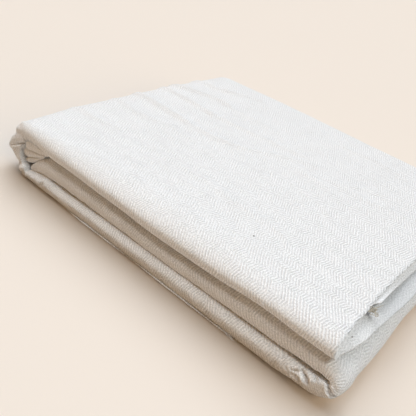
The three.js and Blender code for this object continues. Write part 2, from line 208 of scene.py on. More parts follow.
def sag(points):
    """The far left corner of the top droops, fading out to the right, to the front and downwards."""
    x, y, z = points[..., 0], points[..., 1], points[..., 2]
    down = SAG * (1 - smooth_step(x, -185, -40)) * smooth_step(y, 30, 155) * smooth_step(z, 22, 46)
    return points - down[..., None] * np.array([0, 0, 1])


def free_edge(y):
    """x of the top layer's cut edge."""
    return table_lines(FREE_EDGES, y)[0]


def droop_edge(y):
    """x of the third layer's wavy edge."""
    return table_lines(FREE_EDGES, y)[1]


print("mid-way, the top stack is", round(float(HEIGHT - top_under(0.0)), 1), "mm thick")

# %% [markdown]
# ## Unevenness
# Pressed cloth is never quite flat. A few sine waves in random directions give a smooth unevenness,
# which moves a sheet along its own normals.

# %% Unevenness
def uneven(u, v, size, seed, waves=14):
    """Sine waves in random directions, with wavelengths near the size: their sum is about -1 to 1."""
    random = np.random.default_rng(seed)
    total = np.zeros(np.broadcast(u, v).shape)
    for _ in range(waves):
        angle, phase = random.uniform(0, 2 * math.pi, 2)
        pace = 2 * math.pi / (size * random.uniform(0.6, 1.8))
        total += np.sin((u * math.cos(angle) + v * math.sin(angle)) * pace + phase)
    return total / math.sqrt(waves / 2) / 1.6


def normals_of(points):
    """Unit normals of a grid of points: the cross product of its two directions."""
    along = np.gradient(points, axis=0)
    across = np.gradient(points, axis=1)
    normal = np.cross(across, along)
    return normal / np.maximum(np.linalg.norm(normal, axis=-1, keepdims=True), 1e-9)


print("unevenness at three places:", uneven(np.array([0, 40, 80]), np.zeros(3), 60, 1).round(2))

# %% [markdown]
# ## Creases
# A crease is a soft trough along a line, with a slight rise on both sides, and one of negative depth is
# a ridge. Its line is given by a few points near the sheet, and then laid onto it.

# %% Creases
def nearness(points, line):
    """For each point, its distance to a line of joined segments, and the nearest place on it, 0 to 1."""
    line = np.asarray(line, float)
    steps = np.linalg.norm(np.diff(line, axis=0), axis=1)
    starts = np.concatenate([[0], np.cumsum(steps)])
    best = np.full(points.shape[:-1], 1e9)
    place = np.zeros(points.shape[:-1])
    for a, b, start, step in zip(line[:-1], line[1:], starts, steps):
        t = np.clip(((points - a) @ (b - a)) / step**2, 0, 1)
        distance = np.linalg.norm(points - a - t[..., None] * (b - a), axis=-1)
        closer = distance < best
        place = np.where(closer, (start + t * step) / starts[-1], place)
        best = np.minimum(best, distance)
    return best, place


def laid_on(points, line, step=1.5):
    """The line in short steps, each moved to the nearest point of the grid, then evened out."""
    line = np.asarray(line, float)
    reached = np.concatenate([[0], np.cumsum(np.linalg.norm(np.diff(line, axis=0), axis=1))])
    at = np.linspace(0, reached[-1], max(3, int(reached[-1] / step)))
    fine = np.stack([np.interp(at, reached, line[:, k]) for k in range(3)], axis=-1)
    flat = points.reshape(-1, 3)
    laid = flat[[((flat - p) ** 2).sum(-1).argmin() for p in fine]]
    laid = laid[np.concatenate([[True], np.linalg.norm(np.diff(laid, axis=0), axis=1) > 0.05])]
    laid[1:-1] = (laid[:-2] + 2 * laid[1:-1] + laid[2:]) / 4
    return laid


def creases(points, lines):
    """How far each point moves out: the sum of lift exp(-((d - 2.2 w) / w)^2) - depth exp(-(d / w)^2).

    Here d is the distance to a crease's line and w its width. Each crease fades out at both ends.
    """
    moved = np.zeros(points.shape[:-1])
    for depth, width, lift, line in lines:
        distance, place = nearness(points, laid_on(points, line, max(1.5, width)))
        ends = np.clip(4 * place * (1 - place), 0, 1) ** 0.5
        trough = np.exp(-((distance / width) ** 2))
        beside = np.exp(-(((distance - 2.2 * width) / width) ** 2))
        moved += ends * (lift * beside - depth * trough)
    return moved


print("a crease 1 mm deep and 2 mm wide, 2 mm off:", round(float(math.exp(-1)), 2), "mm")

# %% [markdown]
# ## From a grid of points to a sheet of cloth
# A sheet is a grid of points in rows and columns. Its UV map holds the distances along the cloth in
# metres, so that the weave keeps its size round every fold. A Solidify modifier gives the sheet its
# thickness and closes its edges.

# %% Sheets
def lengths_along(points, axis):
    """The distance travelled over the grid along one axis, from 0 at its start."""
    steps = np.linalg.norm(np.diff(points, axis=axis), axis=-1)
    start = np.zeros_like(np.take(steps, [0], axis=axis))
    return np.concatenate([start, np.cumsum(steps, axis=axis)], axis=axis)


def cloth_mesh(name, points, uv, closed=False):
    """A mesh from a grid of points in mm, a face to a cell, with its UV map. A closed one is a tube."""
    columns, rows = points.shape[:2]
    grid = np.arange(columns * rows).reshape(columns, rows)
    if closed:
        grid = np.concatenate([grid, grid[:, :1]], axis=1)
    faces = np.stack([grid[:-1, :-1], grid[:-1, 1:], grid[1:, 1:], grid[1:, :-1]], axis=-1)
    caps = [grid[0, -2::-1].tolist(), grid[-1, :-1].tolist()] if closed else []
    mesh = bpy.data.meshes.new(name)
    mesh.from_pydata((points * MM).reshape(-1, 3), [], faces.reshape(-1, 4).tolist() + caps)
    layer = mesh.uv_layers.new(name="cloth")
    loops = np.zeros(len(mesh.loops), np.int32)
    mesh.loops.foreach_get("vertex_index", loops)
    layer.data.foreach_set("uv", (uv.reshape(-1, 2)[loops] * MM).astype(np.float32).ravel())
    mesh.polygons.foreach_set("use_smooth", np.ones(len(mesh.polygons), bool))
    mesh.update()
    return mesh


def give_wall(piece, thickness, offset):
    """A live Solidify: offset -1 puts the thickness behind the faces, and 0 half on each side."""
    wall = piece.modifiers.new("thickness", "SOLIDIFY")
    wall.thickness = thickness * MM
    wall.offset = offset


def cloth_sheet(name, points, uv, material, thickness):
    """A sheet whose thickness lies on the inner side of the grid."""
    piece = placed(name, cloth_mesh(name, points, uv))
    piece.data.materials.append(material)
    give_wall(piece, thickness, -1)
    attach(piece, "root")
    print(f"{name}: {points.shape[0]} x {points.shape[1]} points")
    return piece


print("a sheet's UV map: 1 unit is", round(1 / MM), "mm of cloth")

# %% [markdown]
# ## Short ways to build a node tree
# A shader is a tree of nodes, and each needs a line to make it and one for each wire. This class does
# both at once, so a formula reads from left to right. It works in a material and in a node group.

# %% Node helpers
def new_group(name, inputs, outputs):
    """An empty node group with its sockets, and its input and output nodes."""
    group = bpy.data.node_groups.new(name, "ShaderNodeTree")
    for label, kind, value in inputs:
        item = group.interface.new_socket(label, in_out="INPUT", socket_type=kind)
        if value is not None:
            item.default_value = value
    for label, kind in outputs:
        group.interface.new_socket(label, in_out="OUTPUT", socket_type=kind)
    return group, group.nodes.new("NodeGroupInput"), group.nodes.new("NodeGroupOutput")


class Wires:
    """Short ways to add nodes to a tree: each call adds one node and returns its first output."""

    def __init__(self, tree):
        """Keep the tree that the nodes go to."""
        self.tree = tree

    def put(self, socket, value):
        """Link a socket that comes from a node, or set a plain value."""
        if isinstance(value, bpy.types.NodeSocket):
            self.tree.links.new(value, socket)
        else:
            socket.default_value = value

    def math(self, operation, a, b=0.0, clamp=False):
        """One sum of a and b, or one function of a."""
        node = self.tree.nodes.new("ShaderNodeMath")
        node.operation = operation
        node.use_clamp = clamp
        self.put(node.inputs[0], a)
        self.put(node.inputs[1], b)
        return node.outputs[0]

    def noise(self, vector, scale, detail=2.0, roughness=0.5):
        """Cloudy noise between 0 and 1, with patches 1 / scale wide."""
        node = self.tree.nodes.new("ShaderNodeTexNoise")
        self.put(node.inputs["Vector"], vector)
        self.put(node.inputs["Scale"], scale)
        self.put(node.inputs["Detail"], detail)
        self.put(node.inputs["Roughness"], roughness)
        return node.outputs["Fac"]

    def spread(self, value, low, high, to_low=0.0, to_high=1.0):
        """The value's place between low and high, as a number between the two others."""
        node = self.tree.nodes.new("ShaderNodeMapRange")
        for socket, given in zip(node.inputs, (value, low, high, to_low, to_high)):
            self.put(socket, given)
        return node.outputs[0]

    def mix(self, factor, a, b):
        """Colour a where the factor is 0, and b where it is 1: a + factor * (b - a)."""
        node = self.tree.nodes.new("ShaderNodeMix")
        node.data_type = "RGBA"
        self.put(node.inputs["Factor"], factor)
        self.put(node.inputs[6], a)
        self.put(node.inputs[7], b)
        return node.outputs[2]

    def scaled(self, vector, scale):
        """Each coordinate times its own scale."""
        node = self.tree.nodes.new("ShaderNodeVectorMath")
        node.operation = "MULTIPLY"
        self.put(node.inputs[0], vector)
        node.inputs[1].default_value = scale
        return node.outputs[0]


print("node helpers:", [name for name in vars(Wires) if not name.startswith("_")])

# %% [markdown]
# ## The weave
# The cloth is a herringbone twill: fine diagonal ribs that lean one way in a wide band and the other
# way in a narrow one, like the bones of a fish. Plain sine waves would look printed, so the group bends
# the ribs a little, lets them fade in and out, shifts the bands' borders, and adds the small knots of
# single yarns. It reads the UV map, so the ribs follow the cloth round its folds.

# %% Weave group
def herringbone_group():
    """The ribs' height, and their painted light and shade with the yarn's grain: strength sin(2 pi (along +
    lean across + drift) / pitch).

    Across the cloth a wide and a narrow band take turns, and each has its own lean. Grain is added.
    """
    group, given, made = new_group(
        "herringbone twill",
        [
            ("UV", "NodeSocketVector", None),
            ("Rib Pitch", "NodeSocketFloat", 2.55),
            ("Wide Band", "NodeSocketFloat", 10.0),
            ("Narrow Band", "NodeSocketFloat", 7.0),
            ("Lean", "NodeSocketFloat", 0.51),
            ("Return Lean", "NodeSocketFloat", 0.25),
            ("Waviness", "NodeSocketFloat", 0.5),
            ("Grain", "NodeSocketFloat", 1.0),
            ("Rib Strength", "NodeSocketFloat", 1.0),
        ],
        [("Height", "NodeSocketFloat"), ("Painted Rib Shade And Grain", "NodeSocketFloat")],
    )
    wires = Wires(group)
    in_mm = wires.scaled(given.outputs["UV"], (1000, 1000, 1000))
    apart = group.nodes.new("ShaderNodeSeparateXYZ")
    group.links.new(in_mm, apart.inputs[0])
    along, across = apart.outputs[0], apart.outputs[1]
    drift = wires.spread(wires.noise(in_mm, 0.06, 3.0), 0.3, 0.7, -1.0, 1.0)
    drift = wires.math("MULTIPLY", drift, given.outputs["Waviness"])
    ragged = wires.spread(wires.noise(in_mm, 0.25, 2.0), 0.3, 0.7, -1.0, 1.0)
    shifted = wires.spread(wires.noise(in_mm, 0.03, 1.0), 0.3, 0.7, -6.0, 6.0)
    border = wires.math("ADD", wires.math("ADD", across, ragged), shifted)
    period = wires.math("ADD", given.outputs["Wide Band"], given.outputs["Narrow Band"])
    place = wires.math("FLOORED_MODULO", border, period)
    narrow = wires.math("GREATER_THAN", place, given.outputs["Wide Band"])
    back_lean = wires.math("MULTIPLY", given.outputs["Lean"], -1.0)
    lean = wires.spread(narrow, 0.0, 1.0, back_lean, given.outputs["Return Lean"])
    slanted = wires.math("ADD", wires.math("ADD", along, drift), wires.math("MULTIPLY", across, lean))
    phase = wires.math("DIVIDE", slanted, given.outputs["Rib Pitch"])
    phase = wires.math("MULTIPLY", phase, wires.spread(narrow, 0.0, 1.0, 1.0, 1.16))
    rib = wires.math("SINE", wires.math("MULTIPLY", phase, 2 * math.pi))
    strength = wires.spread(wires.noise(in_mm, 0.11, 3.0), 0.36, 0.64, 0.3, 0.58)
    strength = wires.math("MULTIPLY", strength, wires.spread(along, 0.0, 160.0, 1.2, 0.9))
    strength = wires.math("MULTIPLY", strength, given.outputs["Rib Strength"])
    strength = wires.math("MULTIPLY", strength, wires.spread(narrow, 0.0, 1.0, 1.0, 1.15))
    fine = wires.spread(wires.noise(in_mm, 0.9, 2.0, 0.7), 0.3, 0.7, -0.75, 0.75)
    coarse = wires.spread(wires.noise(in_mm, 0.5, 1.0, 0.6), 0.3, 0.7, -0.22, 0.22)
    grain = wires.math("MULTIPLY", wires.math("ADD", fine, coarse), given.outputs["Grain"])
    rib = wires.math("ADD", wires.math("MULTIPLY", rib, strength), 0.5)
    group.links.new(wires.math("ADD", rib, wires.math("MULTIPLY", grain, 0.3)), made.inputs["Height"])
    # Painted light on the ribs' crests and painted shade in their grooves, with the yarn's grain.
    group.links.new(wires.math("ADD", wires.math("MULTIPLY", rib, 0.8), grain), made.inputs["Painted Rib Shade And Grain"])
    return group


weave = herringbone_group()
print("weave group with", [item.name for item in weave.interface.items_tree])

# %% [markdown]
# ## The cloth's finish
# Undyed-white cotton scatters light almost evenly, with a faint nap that catches light at a grazing
# angle. The Principled shader stays in each material, with a high roughness and a little sheen, and the
# weave group feeds its colour and its bump; the colour holds painted light and shade of the ribs, with
# the yarn's grain. The layers inside lie under others, so their ribs show less. The third one at the
# right also lies in a shade, and its colour has painted shade that deepens towards the back.

# %% Cloth materials
INNER_WHITE = (1.0, 1.0, 1.0, 1)
INNER_SHADED = (0.65, 0.652, 0.65, 1)
# The colour of the painted shade, and where across the cloth it starts and where it is full.
PAINTED_SHADE_COLOUR = (0.3, 0.31, 0.31, 1)
SHADE_STARTS = -0.122
SHADE_FULL = -0.07
SHEEN = 0.12


def matt_material(name, roughness, specular):
    """A material with a rough shader that barely shines, with its node tree and that shader."""
    material = bpy.data.materials.new(name)
    material.use_nodes = True
    shader = material.node_tree.nodes["Principled BSDF"]
    shader.inputs["Roughness"].default_value = roughness
    shader.inputs["Specular IOR Level"].default_value = specular
    return material, material.node_tree, shader


def cloth_material(name, white, shaded, rib_depth, rib_strength=1.0, painted_shade_behind=0.0):
    """The weave between two tones, shaded + tone * (white - shaded), with ribs rib_depth mm deep. The tones
    paint the ribs' light and shade, and the last argument says how much painted shade is mixed in towards
    the back.
    """
    material, tree, shader = matt_material(name, 0.88, 0.25)
    wires = Wires(tree)
    shader.inputs["Sheen Weight"].default_value = SHEEN
    shader.inputs["Sheen Roughness"].default_value = 0.6
    uv = tree.nodes.new("ShaderNodeUVMap")
    uv.uv_map = "cloth"
    woven = tree.nodes.new("ShaderNodeGroup")
    woven.node_tree = weave
    tree.links.new(uv.outputs[0], woven.inputs["UV"])
    woven.inputs["Rib Strength"].default_value = rib_strength
    in_mm = wires.scaled(uv.outputs[0], (1000, 1000, 1000))
    mottle = wires.spread(wires.noise(in_mm, 0.03, 4.0), 0.3, 0.7)
    # The tone is the ribs' painted light and shade, with the grain and a slow mottle.
    tone = wires.math("MULTIPLY", woven.outputs["Painted Rib Shade And Grain"], 0.8)
    tone = wires.math("ADD", tone, wires.math("MULTIPLY", mottle, 0.08), clamp=True)
    across = tree.nodes.new("ShaderNodeSeparateXYZ")
    tree.links.new(uv.outputs[0], across.inputs[0])
    # Painted shade: towards the back the colour darkens, for the shade under the layers above.
    behind = wires.spread(across.outputs["Y"], SHADE_STARTS, SHADE_FULL, 0.0, painted_shade_behind)
    colour = wires.mix(behind, wires.mix(tone, shaded, white), PAINTED_SHADE_COLOUR)
    tree.links.new(colour, shader.inputs["Base Color"])
    bump = tree.nodes.new("ShaderNodeBump")
    bump.inputs["Strength"].default_value = 1.0
    bump.inputs["Distance"].default_value = rib_depth * MM
    tree.links.new(woven.outputs["Height"], bump.inputs["Height"])
    tree.links.new(bump.outputs[0], shader.inputs["Normal"])
    return material


twill = cloth_material("white_twill", (1.0, 1.0, 0.995, 1), (0.65, 0.646, 0.64, 1), 0.3)
# The third layer's material, with painted shade that deepens towards the back.
twill_under = cloth_material("white_twill_under", INNER_WHITE, INNER_SHADED, 0.2, 0.5, 0.4)
twill_inside = cloth_material("white_twill_inside", INNER_WHITE, INNER_SHADED, 0.2, 0.5)
print("materials:", [m.name for m in (twill, twill_under, twill_inside)])

# %% [markdown]
# ## Walking round the strip
# Every stretch of the bundle is the same strip of layers, seen from outside: in front, a rounded fold
# as thick as the strip, then a flat face, then the tight roll at the back. So one profile makes them
# all. It is worked out for every column of the grid at once, as y and an inset, which is how far the
# sheet lies inside the strip's outer path. The cells after this one turn the insets into points.

# %% Strip surface
LEG = 10
LEG_STEPS = 3
ROLL_LEG = 6
ROLL_STEPS = 9


def rounded(angle, square):
    """Sine and cosine to a power: 1 keeps the quarter circle round, and less squares its shoulder."""
    power = np.where(angle > math.pi / 2, square, 1)
    return np.sin(angle).clip(0) ** power, np.sign(np.cos(angle)) * np.abs(np.cos(angle)) ** power


def front_fold(thickness, depth, front, angles, leg_steps, square, shoulder, nose):
    """A short leg, then two quarter ellipses out to the outer face: y = front + depth (1 - sin a)."""
    leg = np.linspace(LEG, 0, leg_steps, endpoint=False)
    leg_y = front + depth + leg
    leg_inset = np.repeat(thickness, leg_steps, axis=1)
    sine, cosine = rounded(angles, square)
    round_y = front + np.where(angles > math.pi / 2, depth, shoulder) * (1 - sine)
    reach = np.where(angles > math.pi / 2, 1 - nose, nose)
    round_inset = nose * thickness - cosine * thickness * reach
    return np.concatenate([leg_y, round_y], axis=1), np.concatenate([leg_inset, round_inset], axis=1)


def back_roll(steps):
    """A quarter and a half of a circle at the back, then a short leg inside: inset = r (1 - cos a)."""
    angle = np.linspace(0, math.pi, steps)
    y = BACK - ROLL_RADIUS + ROLL_RADIUS * np.sin(angle)
    inset = ROLL_RADIUS * (1 - np.cos(angle))
    leg = np.linspace(0, ROLL_LEG, 3)[1:]
    return np.append(y, BACK - ROLL_RADIUS - leg), np.append(inset, np.full(2, 2 * ROLL_RADIUS))


def graded(count, power):
    """Numbers from 0 to 1 that lie closer together near 0."""
    t = np.linspace(0, 1, count + 2)[1:-1]
    return t**power


def profile(thickness, depth, front, round_steps, flat_count, square, shoulder, nose=0.5):
    """y and inset in each column, from the inner leg round the front to the roll at the back."""
    columns = len(thickness)
    angles = np.linspace(math.pi, 0, round_steps)[None]
    fold_y, fold_inset = front_fold(thickness, depth, front, angles, LEG_STEPS, square, shoulder, nose)
    start = fold_y[:, -1:]
    flat_y = start + (BACK - ROLL_RADIUS - start) * graded(flat_count, 1.35)[None]
    roll_y, roll_inset = (np.tile(part, (columns, 1)) for part in back_roll(ROLL_STEPS))
    y = np.concatenate([fold_y, flat_y, roll_y], axis=1)
    inset = np.concatenate([fold_inset, np.zeros_like(flat_y), roll_inset], axis=1)
    return y, inset


def column(values):
    """The values as a column, to go with a row of steps across the strip."""
    return np.asarray(values, float)[:, None]


print("each column ends in a roll of", len(back_roll(ROLL_STEPS)[0]), "points")

# %% [markdown]
# ## The spine's rim
# Where the strip bends round the left end, it was pushed together when the bundle was folded, so its
# front rim bulges and dents. Two tables give the rim and the inner edge there, and the step between
# them is the deep crease under the tip.

# %% Spine tables
# Round the left end the front rim is pinched. Its upper part tapers to a tip, and its lower part starts
# afresh below a crease: x at the front rim, x further back, z, the inner edge's x and z, y of the
# front, depth of the outer and of the inner rounding, and how far in the foremost point lies.
SPINE_UPPER = np.array([
    (-140, -140, 50.0, -140, 34.3, -151.2, 9.4, 7.85, 0.5),
    (-149.5, -150, 50.0, -146.5, 35.2, -151.2, 8.5, 7.2, 0.5),
    (-158.5, -160, 49.8, -151.0, 34.6, -151.2, 8.0, 6.5, 0.5),
    (-166.6, -171.5, 47.2, -155.0, 32.4, -151.3, 7.8, 6.0, 0.5),
    (-171.9, -178.8, 42.6, -159.0, 29.2, -151.5, 7.8, 5.5, 0.5),
    (-173.5, -182.2, 38.6, -162.4, 26.6, -151.5, 7.6, 5.0, 0.5),
    (-172.7, -183.2, 35.4, -165.2, 25.0, -151.7, 7.6, 4.8, 0.5),
    (-176.4, -184.4, 31.2, -168.4, 23.2, -152.1, 7.8, 4.4, 0.5),
    (-178.6, -185.2, 26.6, -171.9, 21.4, -152.2, 7.2, 4.0, 0.5),
    (-179.0, -185.5, 23.0, -175.0, 20.0, -152.3, 6.2, 3.0, 0.5),
    (-178.2, -185.5, 20.2, -175.8, 18.8, -152.0, 6.0, 2.5, 0.5),
])
SPINE_LOWER = np.array([
    (-178.7, -185.4, 19.3, -158.4, 29.8, -150.0, 6.0, 3.0, 0.22),
    (-179.6, -185.4, 18.5, -158.6, 29.0, -151.6, 6.0, 3.0, 0.22),
    (-179.6, -185.3, 17.7, -159.2, 27.8, -152.3, 5.8, 3.0, 0.24),
    (-177.4, -184.5, 16.0, -160.5, 25.2, -151.9, 5.4, 3.0, 0.27),
    (-170.8, -182.3, 11.8, -161.2, 21.0, -152.0, 5.0, 3.0, 0.33),
    (-164.2, -178.5, 7.5, -159.5, 17.6, -152.8, 4.6, 3.0, 0.4),
    (-159.0, -172.0, 3.2, -156.6, 13.6, -153.8, 4.4, 3.0, 0.42),
    (-154.0, -161.0, 0.4, -152.0, 10.8, -154.6, 4.2, 3.5, 0.45),
    (-148.0, -148.0, 0.0, -147.8, 7.4, -155.0, 4.0, 4.0, 0.5),
])
print("the rim's tip is at", SPINE_UPPER[-1, [0, 2]], "and the lower part starts at", SPINE_LOWER[0, [0, 2]])

# %% [markdown]
# ## The top and the spine
# The sheet that shows most: the whole top face with its thick rounded lip in front, and, without a
# break, the spine round the left end, which tucks under. Each column of the grid is one walk round the
# strip, and together they follow the strip's path.

# %% Top and spine
SHEET = 1.0
TOP_COLUMNS = 114
TOP_ROUND = 33
TOP_FLAT = 142
UPPER_COLUMNS = 62
LOWER_COLUMNS = 56


def table_path(table, count):
    """A table's columns as smooth lines over the distance along its path, evenly spaced."""
    knots = np.concatenate([[0], np.cumsum(np.hypot(np.diff(table[:, 0]), np.diff(table[:, 2])))])
    at = np.linspace(0, knots[-1], count)
    return np.stack([smooth_line(at, knots, table[:, k]) for k in range(table.shape[1])])


def top_and_spine():
    """Each column runs from the inner edge round the front to the outer path, then back to the roll."""
    top_left = SPINE_UPPER[0, 0]
    edge_share = np.linspace(0, 1, TOP_COLUMNS, endpoint=False)
    x = TOP_RIGHT + (top_left - TOP_RIGHT) * edge_share
    half, same = (HEIGHT - top_under(x)) / 2, np.ones_like(x)
    flat = [x, x, HEIGHT * same, x, top_under(x), LIP_FRONT * same, shoulder_depth(x), half, 0.5 * same]
    spine = [table_path(SPINE_UPPER, UPPER_COLUMNS), table_path(SPINE_LOWER, LOWER_COLUMNS)]
    table = np.concatenate([np.stack(flat), *spine], axis=1)
    rim_x, far_x, z, inner_x, inner_z, front, shoulder, depth, nose = (column(row) for row in table)
    thick = np.hypot(inner_x - rim_x, inner_z - z)
    square = np.where(nose < 0.5, 0.5, 1.0)
    y, inset = profile(thick, depth, front, TOP_ROUND, TOP_FLAT, square, shoulder, nose)
    share = smooth_step(y, -151, -76)
    outer_x = rim_x + (far_x - rim_x) * share
    edge = free_edge(y[: len(x)])
    outer_x[: len(x)] = edge + (top_left - edge) * column(edge_share)
    step_x, step_z = np.gradient(far_x, axis=0), np.gradient(z, axis=0)
    step = np.maximum(np.hypot(step_x, step_z), 1e-9)
    inward_x = (inner_x - rim_x) / thick * (1 - share) - step_z / step * share
    inward_z = (inner_z - z) / thick * (1 - share) + step_x / step * share
    size = np.hypot(inward_x, inward_z)
    return np.stack([outer_x + inward_x / size * inset, y, z + inward_z / size * inset], axis=-1)


points = top_and_spine()
normals = normals_of(points)
print("top and spine, from", points.min(axis=(0, 1)).round(1), "to", points.max(axis=(0, 1)).round(1))
print("the top faces up:", normals[60, 90].round(2))

# %% [markdown]
# ## The top's ridges
# The ridges on the top run from the spine, where they are highest, and fade out to the right. The
# spine has creases of its own. Both are pressed into the grid, and then it becomes a sheet.

# %% Ridges and creases of the top
# Each ridge on the top: height, width, then its line. A point without a z lies on the top face.
TOP_RIDGES = [
    (3.2, 4.0, [(-183.5, 59, 40), (-172, 61), (-152, 66), (-132, 74), (-117, 77), (-92, 76)]),
    (1.0, 4.0, [(-112, 77), (-82, 75), (-32, 76)]),
    (2.8, 3.8, [(-183.5, 42, 42), (-172, 43), (-144, 41), (-127, 41), (-97, 38), (-80, 39)]),
    (1.5, 4.0, [(-105, 39), (-57, 41), (-17, 47), (33, 54)]),
    (2.9, 4.6, [(-183.5, 4, 40), (-172, 1), (-157, 0), (-107, -2), (-85, -3)]),
    (1.7, 4.2, [(-110, -3), (-57, -4), (-27, 4), (-7, 19), (28, 44), (40, 50)]),
    (2.5, 3.8, [(-183.5, 99, 40), (-172, 101), (-150, 104), (-132, 108), (-117, 117)]),
    (2.3, 3.8, [(-135, 107), (-117, 117), (-97, 127), (-84, 132)]),
    (1.3, 4.2, [(-183.5, -30, 42), (-172, -31), (-127, -35), (-107, -32), (-85, -20)]),
    (1.4, 4.2, [(-183.5, -84, 42), (-170, -84), (-127, -81), (-108, -75)]),
    (0.6, 5.0, [(-35, -77), (3, -74), (28, -78), (95, -83)]),
    (1.0, 3.8, [(25, 115), (68, 121), (105, 118)]),
    (0.9, 3.8, [(66, 36), (98, 56), (128, 70)]),
    (0.9, 3.8, [(55, 33), (98, 33), (140, 39)]),
    (0.7, 4.0, [(10, 24), (53, 20), (80, 17)]),
    (0.5, 2.2, [(33, 130), (33, 74)]),
    (0.45, 3.0, [(99, -28), (82, -98)]),
    (0.4, 2.2, [(82, -118), (152, -111)]),
]
# Each crease round the spine: depth, width, rise beside it, then its line.
SPINE_CREASES = [
    (1.5, 2.6, 0.4, [(-158, -151, 39.4), (-166, -152, 37.8), (-171, -152, 36.8), (-175, -150, 36)]),
    (1.2, 2.0, 0.4, [
        (-174, -151, 36), (-178, -147, 34), (-181.5, -141, 32.5), (-184, -130, 31.5), (-184.5, -112, 32),
    ]),
    (1.6, 1.8, 0.4, [(-182, -147, 19.5), (-184, -140, 18.5), (-185, -128, 18), (-185.3, -108, 18.5)]),
    (0.6, 1.5, 0.3, [(-177, -151, 13.5), (-182, -145, 12), (-184, -130, 12)]),
    (0.6, 2.0, 0.4, [(-160, -150, 45), (-168, -151, 45), (-175, -146, 45)]),
    (0.9, 3.0, 0.4, [(-185, 40, 30), (-185.5, 95, 26), (-183, 148, 31)]),
    (0.7, 2.6, 0.3, [(-185, -70, 22), (-185.5, -20, 19), (-184, 30, 24)]),
    (1.6, 1.9, 0.3, [
        (-167, -151, 10), (-164, -152, 9.5), (-160, -151, 9.8), (-156.5, -150, 9.6), (-152.5, -149, 11),
    ]),
    (-1.4, 2.0, 0.0, [(-163, -153, 2.5), (-159.3, -153, 4), (-154, -153, 7), (-149, -152.5, 10)]),
]

TOP_CREASES = [
    (-height, width, 0.0, [(*point, HEIGHT)[:3] for point in line]) for height, width, line in TOP_RIDGES
]
x, y = points[..., 0], points[..., 1]
moved = creases(points, TOP_CREASES + SPINE_CREASES)
moved += 0.22 * uneven(x, y, 60, 1) + 0.05 * uneven(x, y, 18, 2)
points = sag(points + normals * moved[..., None])


def cloth_uv(points, along_start=0.0, across_row=40, across_at=-120.0):
    """Distances along the cloth: along the path on one row, and across it from that row."""
    along = lengths_along(points[:, across_row : across_row + 1], 0) + along_start
    across = lengths_along(points, 1)
    across = across - across[:, across_row : across_row + 1] + across_at
    return np.stack([np.broadcast_to(along, across.shape), across], axis=-1)


top_sheet = cloth_sheet("top_and_spine", points, cloth_uv(points), twill, SHEET)
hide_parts("top_panel", "left_wrap")

# %% [markdown]
# ## The right end
# The strip turns up round the right end and comes back as the middle stack, so inside the turn it meets
# itself along a slit. The outer curve is half an ellipse, and the inner one follows the slit.

# %% Right end
# Round the right end: angle, depth of the strip's rounded front on its outer and its inner side, y of
# its front, and squareness.
CORNER = np.array([
    (-100, 8.2, 7.0, -155.2, 0.6), (-90, 8.5, 6.5, -155.1, 0.55), (-60, 9.0, 4.6, -154.6, 0.5),
    (-30, 9.5, 3.6, -153.8, 0.5), (-8, 9.5, 3.4, -152.9, 0.5), (12, 9.5, 3.4, -152.2, 0.5),
    (35, 9.5, 5.0, -151.5, 0.55), (60, 9.2, 7.6, -150.9, 0.7), (90, 9.0, 9.0, -150.7, 0.85),
])
# Inside that end, the strip meets itself along a slit, from its root to the pinch: x, z.
SLIT_ROOT = (165.0, 16.4)
SLIT_END = (178.6, 19.3)
SLIT_ANGLE = 12
SLIT_GAP = 0.3
# How far the right end reaches past its plain curve: y, x.
REACH_MORE = np.array([
    (-155, 0.2), (-147, 0.7), (-139, 1.3), (-130, 0.4), (-119, 0.4), (-106, 0.6),
    (-84, 0.2), (-61, -0.9), (-36, -1.3), (0, -0.8), (80, 0.5), (155, 0.8),
])


def right_turn(angle):
    """The turn's outer curve, half an ellipse, then the inner one, out along the slit and back."""
    half = STACK_TURN_HEIGHT / 2
    turn = np.radians(angle)
    outer = RIGHT_TURN + RIGHT_REACH * np.cos(turn), half + half * np.sin(turn)
    lower = (angle + 90) / (SLIT_ANGLE + 90)
    share = np.where(angle < SLIT_ANGLE, lower, (90 - angle) / (90 - SLIT_ANGLE))
    gap = SLIT_GAP * (angle > SLIT_ANGLE)
    inner = [a + (b - a) * share for a, b in zip(SLIT_ROOT, SLIT_END)]
    return outer[0], outer[1], inner[0], inner[1] + gap


turn_x, turn_z, _, _ = right_turn(np.array([-90.0, 0.0, 90.0]))
print("the right end turns through", np.stack([turn_x, turn_z], axis=-1).round(1).tolist())

# %% [markdown]
# ## The slot and the lip
# The strip's lowest layer has slipped back a little, so a thin lip lies on the floor under the rounded
# fold, with a narrow slot above it. The slot and the lip take the place of part of the plain profile.

# %% Slot and lip
# The slot's height over the floor and half its own height, how deep the fold is rounded above and below
# its foremost point, where that point lies, how far the lip is rounded, and how deep the slot reaches.
SLOT = 1.7
SLOT_HALF = 0.1
FOLD_ROUND = 9.0
BELLY = 1.2
NOSE = 0.38
LIP_ROUND = 1
SLOT_DEPTH = 7
LIP_STEPS = (30, 7, 7)
# The front edge of the lowest layer, a thin lip on the floor: x, y.
FLOOR_LIP = np.array([
    (-160, -151.6), (-137, -152.2), (-124, -153.8), (-110, -153.0), (-92, -154.2), (-78, -155.2),
    (-35, -155.6), (0, -155.0), (30, -155.6), (70, -155.5), (98, -155.0), (112, -153.4), (165, -151.8),
])


